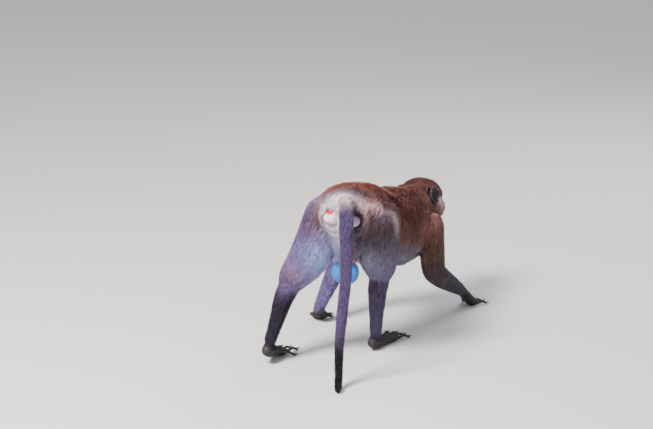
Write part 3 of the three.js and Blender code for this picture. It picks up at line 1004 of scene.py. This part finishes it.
def lieAt(points, normals, locks):
    # the way that the hair lies, with a swing that draws it into locks
    shares, lie, _, _ = readBones(points)
    headForward, headLeft, headUp = headPlaces(points)
    body = partOf(shares, "trunk", "neck")
    lie = unit(lie)
    hang = body * np.abs(normals[:, 0]) * lieForm["hang"]
    lie = lie + hang[:, None] * np.array([0, 0, -1])
    head = partOf(shares, "head", "muzzle") * ramp(-30, 10, headForward)
    spread = np.stack([headLeft, 22 + 0 * headLeft, headUp + 6], 1) / 30  # outwards and back
    lie = lie + head[:, None] * (spread @ headTurn.T - lie) * lieForm["headSpread"]
    # Straight down between the thighs
    fall = nearness(points, (-44, 8, 236), (48, 50, 46))[:, None] * lieForm["fall"]
    lie = lie * np.clip(1 - fall, 0, 1) + fall * np.array([0, 0.25, -1])
    for middle in pose["pads"].values():  # the hair parts round each sitting pad
        away = nearness(points, middle, (17, 19, 16))[:, None] * lieForm["padParting"]
        lie = lie * np.clip(1 - away, 0, 1) + away * unit(points - place(*middle))
    lie = lie - normals * (lie * normals).sum(1, keepdims=True)
    lie = unit(lie)
    side = np.cross(normals, lie)
    swing = lieForm["swing"] * ripple(points, 26, 5) + lieForm["flick"] * ripple(points, 9, 6)
    swing = swing * locks * (1 - 0.45 * body)
    return unit(lie * np.cos(swing)[:, None] + side * np.sin(swing)[:, None])


def unwrap(triangles, name):
    # unfolds that much of the skin, and gives back a map place for each corner
    used, corners = np.unique(triangles, return_inverse=True)
    patch = pieceFrom("unfolded" + name, skinPoints[used], corners.reshape(-1, 3))
    bpy.ops.object.select_all(action="DESELECT")
    patch.select_set(True)
    bpy.context.view_layer.objects.active = patch
    bpy.ops.object.mode_set(mode="EDIT")
    bpy.ops.mesh.select_all(action="SELECT")
    bpy.ops.uv.smart_project(angle_limit=math.radians(66), island_margin=0.004)
    bpy.ops.object.mode_set(mode="OBJECT")
    places = np.empty(len(patch.data.loops) * 2, np.float32)
    patch.data.uv_layers.active.data.foreach_get("uv", places)
    bpy.data.objects.remove(patch)
    return places.reshape(-1, 3, 2).astype(float)


def spreadRoots(name, triangles, count):
    # places on the triangles, even over their area and none on bare skin
    area, middles = facets(triangles)
    bare = np.maximum.reduce(list(bareMasks(middles).values()))
    chance = area * np.clip(1 - 1.3 * bare, 0, 1)
    chance /= chance.sum()
    picks = random.choice(len(triangles), count, p=chance)
    a, b = random.random((2, count))
    flip = a + b > 1
    a[flip], b[flip] = 1 - a[flip], 1 - b[flip]
    weights = np.stack([1 - a - b, a, b], 1)
    chosen = triangles[picks]
    roots = np.einsum("ij,ijk->ik", weights, skinPoints[chosen])
    normals = unit(np.einsum("ij,ijk->ik", weights, skinNormals[chosen]))
    return roots, normals, np.einsum("ij,ijk->ik", weights, unwrap(triangles, name)[picks])


def tuftFaces():
    # a tapering blade with three sides: base ring 0 1 2, middle ring 3 4 5 and tip 6
    pattern, flats = [], []
    for k in range(3):
        p, q = k, (k + 1) % 3
        u, v = k / 3, (k + 1) / 3
        pattern += [(p, q, q + 3), (p, q + 3, p + 3), (p + 3, q + 3, 6)]
        flats += [
            ((u, 0.1), (v, 0.1), (v, 0.55)), ((u, 0.1), (v, 0.55), (u, 0.55)),
            ((u, 0.55), (v, 0.55), ((u + v) / 2, 1)),
        ]
    pattern.append((0, 2, 1))
    flats.append(((0, 0.1), (0.5, 0), (1, 0.1)))
    return np.array(pattern), np.array(flats)


def tuftRing(centre, normal, way, size):
    side = unit(np.cross(normal, way))
    half = side * (size * 0.5 * mm)[:, None]
    top = normal * (size * 0.32 * mm)[:, None]
    return [centre - half, centre + half, centre + top]


def growTufts(name, triangles, count, width, tree):
    form = tuftForm
    roots, normals, mapPlaces = spreadRoots(name, triangles, count)
    depth = coatDepth(roots, form["flare"])
    length = form["length"] * depth + form["lengthMore"]
    length = length * random.uniform(*form["vary"], count)
    lift = depth * random.uniform(*form["lift"], count)
    locks = ramp(0.5, 5, depth)
    thick = width * random.uniform(*form["thickVary"], count) * np.clip(depth / 5, 0.55, 1.15)
    # Each tuft bends over the skin: from its root to its middle, then on to its tip
    lie = lieAt(roots, normals, locks)
    reach = (length * 0.5 * mm)[:, None]
    base, normals1 = ontoSkin(tree, roots + lie * reach)
    middle = base + normals1 * (lift * form["rise"] * mm)[:, None]
    lie1 = lieAt(base, normals1, locks)
    under, normals2 = ontoSkin(tree, base + lie1 * reach)
    tip = under + normals2 * (lift * mm)[:, None]
    # Tufts lean together into locks
    leaders = np.arange(0, count, form["clump"])
    mine = leaders[nearestIn(treeOf(roots[leaders]), roots)]
    close = ramp(*form["clumpReach"], np.linalg.norm(roots - roots[mine], axis=1) / mm)
    pull = (form["pull"] * locks * close)[:, None]
    tip = tip + (tip[mine] - tip) * pull
    middle = middle + (middle[mine] - middle) * pull * 0.35
    # None stays that would cross an ear, the red skin or a sitting pad
    clear = np.maximum(earShadow(middle, 0.88, 2.5), earShadow(tip, 0.88, 2.5)) < 0.5
    shown = bareMasks(tip)
    clear &= np.maximum(shown["red"], shown["pad"] * 0.8) < 0.6
    kept = [roots, normals, lie, base, middle, normals1, lie1, tip, thick, mapPlaces]
    roots, normals, lie, base, middle, normals1, lie1, tip, thick, mapPlaces = (
        values[clear] for values in kept
    )
    count = len(roots)
    roots = roots - normals * (form["root"] * mm)
    parts = tuftRing(roots, normals, lie, thick)
    parts += tuftRing(middle, normals1, lie1, thick * form["taper"]) + [tip]
    points = np.stack(parts, 1).reshape(-1, 3)
    pattern, flats = tuftFaces()
    faces = (np.arange(count)[:, None, None] * len(parts) + pattern).reshape(-1, 3)
    coat = pieceFrom(name, points, faces)
    tufted = mapPlaces[:, None, None] + (flats - 0.5)[None] * form["patch"]
    layer = coat.data.uv_layers.new(name="OFBake")
    layer.data.foreach_set("uv", np.clip(tufted, 0.0005, 0.9995).astype(np.float32).ravel())
    # Coloured from under its middle, with painted shade at the root, and ticked at the tip
    colour = markings(base, normals1, 0)
    grizzle = np.exp(random.normal(0, form["grizzle"], count))
    grizzle = grizzle * (1 + 0.35 * (random.random(count) < 0.12))
    grizzle = grizzle * (1 + 0.12 * ripple(roots, 14, 8))
    colour = colour * grizzle[:, None]
    warm = np.array([1.03, 1.0, 0.97])
    shade = 0.7 + 0.22 * ramp(0.3, 0.75, colour.mean(1, keepdims=True))
    steps = np.stack([colour * shade] * 3 + [colour] * 3 + [colour * form["tip"] * warm], 1)
    setColours(coat, "coat", np.clip(steps, 0, 1).reshape(-1, 3))
    return coat


def growCoat():
    tree = treeOf(skinPoints)
    area, middles = facets(skinTriangles)
    part = readBones(middles)[0].argmax(1)
    forward = bodyPlaces(middles)[0]
    pieces = []
    for name, (parts, width, most) in coatForm.items():
        labels = [i for i, p in enumerate(partNames) if p.startswith(parts)]
        chosen = np.isin(part, labels)
        split = [(name, chosen)]
        if name == "coatTrunk":  # too many tufts for one piece
            split = [
                ("coatChest", chosen & (forward > 175)),
                ("coatFlanks", chosen & (forward <= 175) & (forward > 62)),
                ("coatRump", chosen & (forward <= 62)),
            ]
        total = area[chosen].sum()
        for piece, mask in split:
            count = min(int(most * area[mask].sum() / total), mostTufts)
            coat = growTufts(piece, skinTriangles[mask], count, width, tree)
            print("coat:", piece, count, "tufts over", round(area[mask].sum() * 1e6), "mm2")
            pieces.append(coat)
    return pieces


# Eyes

# Iris and pupil are angles from the way that the eye looks, in radians
eyeForm = {"iris": 0.66, "pupil": 0.27, "cornea": 0.9, "rings": 48, "around": 64}
eyeTones = linearTones({
    "pupil": "#030303", "inner": "#452811", "outer": "#251309", "limbus": "#0c0706",
    "white": "#3a2a24",
})


def eyeball(side):
    way = sides[side]
    size = pose["eyeRadius"]
    turn = math.radians(faceForm["outward"]) * way
    look = headTurn @ axes(math.cos(turn), math.sin(turn), 0)
    right = unit(np.cross(look, [0, 0, 1]))
    top = np.cross(right, look)
    angles = np.linspace(0, math.pi, eyeForm["rings"] + 1) ** 1.15
    angles = angles / angles[-1] * math.pi
    around = np.arange(eyeForm["around"]) / eyeForm["around"] * 2 * math.pi
    points, angle = [look * (size + eyeForm["cornea"])], [0.0]
    for a in angles[1:-1]:
        bulge = eyeForm["cornea"] * np.clip(1 - (a / eyeForm["iris"]) ** 2, 0, 1) ** 1.3
        spoke = np.cos(around)[:, None] * right + np.sin(around)[:, None] * top
        ring = np.cos(a) * look + np.sin(a) * spoke
        points += list(ring * (size + bulge))
        angle += [a] * len(around)
    points.append(-look * size)
    angle.append(math.pi)
    points, angle = np.array(points), np.array(angle)
    rows = eyeForm["rings"] - 1
    faces = closedTube(points, 1, rows, len(around), 0, len(points) - 1)
    eye = pieceFrom("eyeball" + side.capitalize(), points * mm + eyeMiddles[side], faces)
    # Iris fibres run out from the pupil to a dark rim, and the white beyond it is brown
    spin = np.concatenate([[0], np.tile(around, rows), [0]])
    fibres = 0.5 + 0.5 * np.sin(spin * 23 + 2 * np.sin(spin * 7)) * np.sin(spin * 11)
    pupil, iris = eyeForm["pupil"], eyeForm["iris"]
    t = np.clip((angle - pupil) / (iris - pupil), 0, 1)[:, None]
    colour = eyeTones["inner"] + (eyeTones["outer"] - eyeTones["inner"]) * t
    colour = colour * (0.75 + 0.4 * fibres)[:, None]
    for tone, low, high in (
        ("pupil", pupil + 0.02, pupil - 0.02), ("limbus", iris - 0.07, iris),
        ("white", iris + 0.02, iris + 0.12),
    ):
        colour = colour + (eyeTones[tone] - colour) * ramp(low, high, angle)[:, None]
    setColours(eye, "iris", colour)
    return eye


def wetEye():
    # A glass eye under a tear film: deep brown iris, mirror-smooth clear cornea.
    return plainMaterial("wet glass eye", {
        "Roughness": 0.6, "Specular IOR Level": 0.0, "Coat Weight": 1.0, "Coat Roughness": 0.03,
        "Coat IOR": 1.34,
    }, "iris")


# Nails

# Shares of the digit's thickness, but mm ahead of its tip
nailForm = {"wide": 0.52, "long": 0.85, "deep": 0.3, "up": 0.62, "ahead": 2.0, "droop": 0.36}


def buildNails():
    shell = bmesh.new()
    for kind, form in pawForm.items():
        thick = form["thick"] * mm
        size = Matrix.Diagonal((*(thick * nailForm[way] for way in ("wide", "long", "deep")), 1))
        for _, tip, way in digits("left", kind) + digits("right", kind):
            across = np.cross([0, 0, 1], way)
            tilt = unit(way * 0.93 - np.array([0, 0, nailForm["droop"]]))
            up = np.cross(tilt, across)
            turn = Matrix([[*across], [*tilt], [*up]]).transposed().to_4x4()
            middle = tip + way * nailForm["ahead"] * mm + np.array([0, 0, thick * nailForm["up"]])
            bmesh.ops.create_uvsphere(
                shell, u_segments=14, v_segments=10, radius=1,
                matrix=Matrix.Translation(Vector(middle)) @ turn @ size,
            )
    bmesh.ops.triangulate(shell, faces=shell.faces)
    bmesh.ops.recalc_face_normals(shell, faces=shell.faces)
    mesh = settled(shell, bpy.data.meshes.new("nails"))
    mesh.shade_smooth()
    return linked("nails", mesh)


def hornNail():
    # Dark keratin nail: smooth, slightly translucent-looking, with a dull polish.
    colour = (*toLinear("#3a2f2c"), 1)
    return plainMaterial("dark horn nail", {"Base Color": colour, "Roughness": 0.38, "IOR": 1.54})


# Floor, lights and camera

stageForm = {
    "floor": "#d9d6cf", "floorSize": 30, "skyTone": "#e9ebee", "sky": 0.8, "horizon": 0.42,
    # watts, size in metres and place of each lamp, all aimed at the middle of the body
    "lamps": {
        "key": (215, 0.9, (-1750, 750, 2400)),
        "fill": (14, 2.4, (-2100, -1500, 1300)),
        "rim": (18, 1.2, (1800, -500, 1400)),
    },
    "aim": (80, 0, 180),
    "camera": (-4102.3, -1600.2, 1464.5), "azimuth": 22, "elevation": 15, "lens": 132.3,
    "sensor": 36, "farthest": 60,
}


def paintedFloor():
    # Matt emulsion on a flat board: even, without a highlight.
    colour = (*toLinear(stageForm["floor"]), 1)
    settings = {"Base Color": colour, "Roughness": 0.9, "IOR": 1.45}
    return plainMaterial("matt painted board", settings)


def setStage():
    corners = np.array([[-1, -1, 0], [1, -1, 0], [1, 1, 0], [-1, 1, 0]])
    corners = corners * stageForm["floorSize"] / 2
    floor = pieceFrom("floor", corners, np.array([[0, 1, 2], [0, 2, 3]]))
    floor.data.materials.append(paintedFloor())
    world = bpy.data.worlds.new("studio")
    world.use_nodes = True
    tree = world.node_tree
    # Brighter overhead than at the horizon
    generated = addNode(tree, "TexCoord", {}).outputs["Generated"]
    height = addNode(tree, "SeparateXYZ", {}, Vector=generated).outputs["Z"]
    span = {"From Max": 0.6, "To Min": stageForm["horizon"], "To Max": stageForm["sky"]}
    glow = addNode(tree, "MapRange", span, Value=height)
    background = tree.nodes["Background"]
    background.inputs["Color"].default_value = (*toLinear(stageForm["skyTone"]), 1)
    tree.links.new(glow.outputs["Result"], background.inputs["Strength"])
    bpy.context.scene.world = world
    for name, (watts, size, spot) in stageForm["lamps"].items():
        light = bpy.data.lights.new(name, "AREA")
        light.energy = watts
        light.size = size
        lamp = linked(name, light)
        lamp.location = place(*spot)
        aim = Vector(place(*stageForm["aim"])) - lamp.location
        lamp.rotation_euler = aim.to_track_quat("-Z", "Y").to_euler()
    camera = bpy.data.cameras.new("camera")
    camera.lens = stageForm["lens"]
    camera.sensor_width = stageForm["sensor"]
    camera.clip_end = stageForm["farthest"]
    viewer = linked("camera", camera)
    viewer.location = place(*stageForm["camera"])
    around, down = math.radians(stageForm["azimuth"]), math.radians(stageForm["elevation"])
    level = math.cos(down)
    aim = Vector((math.sin(around) * level, -math.cos(around) * level, -math.sin(down)))
    viewer.rotation_euler = aim.to_track_quat("-Z", "Y").to_euler()
    bpy.context.scene.camera = viewer


# Assembly

skin = buildSkin()
skin.data.materials.append(monkeySkin())
fleshNodes = [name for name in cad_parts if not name.startswith("eye_")]
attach(skin, "root")
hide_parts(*fleshNodes)

hair = guardHair()
for coat in growCoat():
    coat.data.materials.append(hair)
    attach(coat, "root")

gloss = wetEye()
for side in sides:
    eye = eyeball(side)
    eye.data.materials.append(gloss)
    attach(eye, "root")
    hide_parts("eye_" + side)

nails = buildNails()
nails.data.materials.append(hornNail())
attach(nails, "root")

setStage()
print("stage: set")
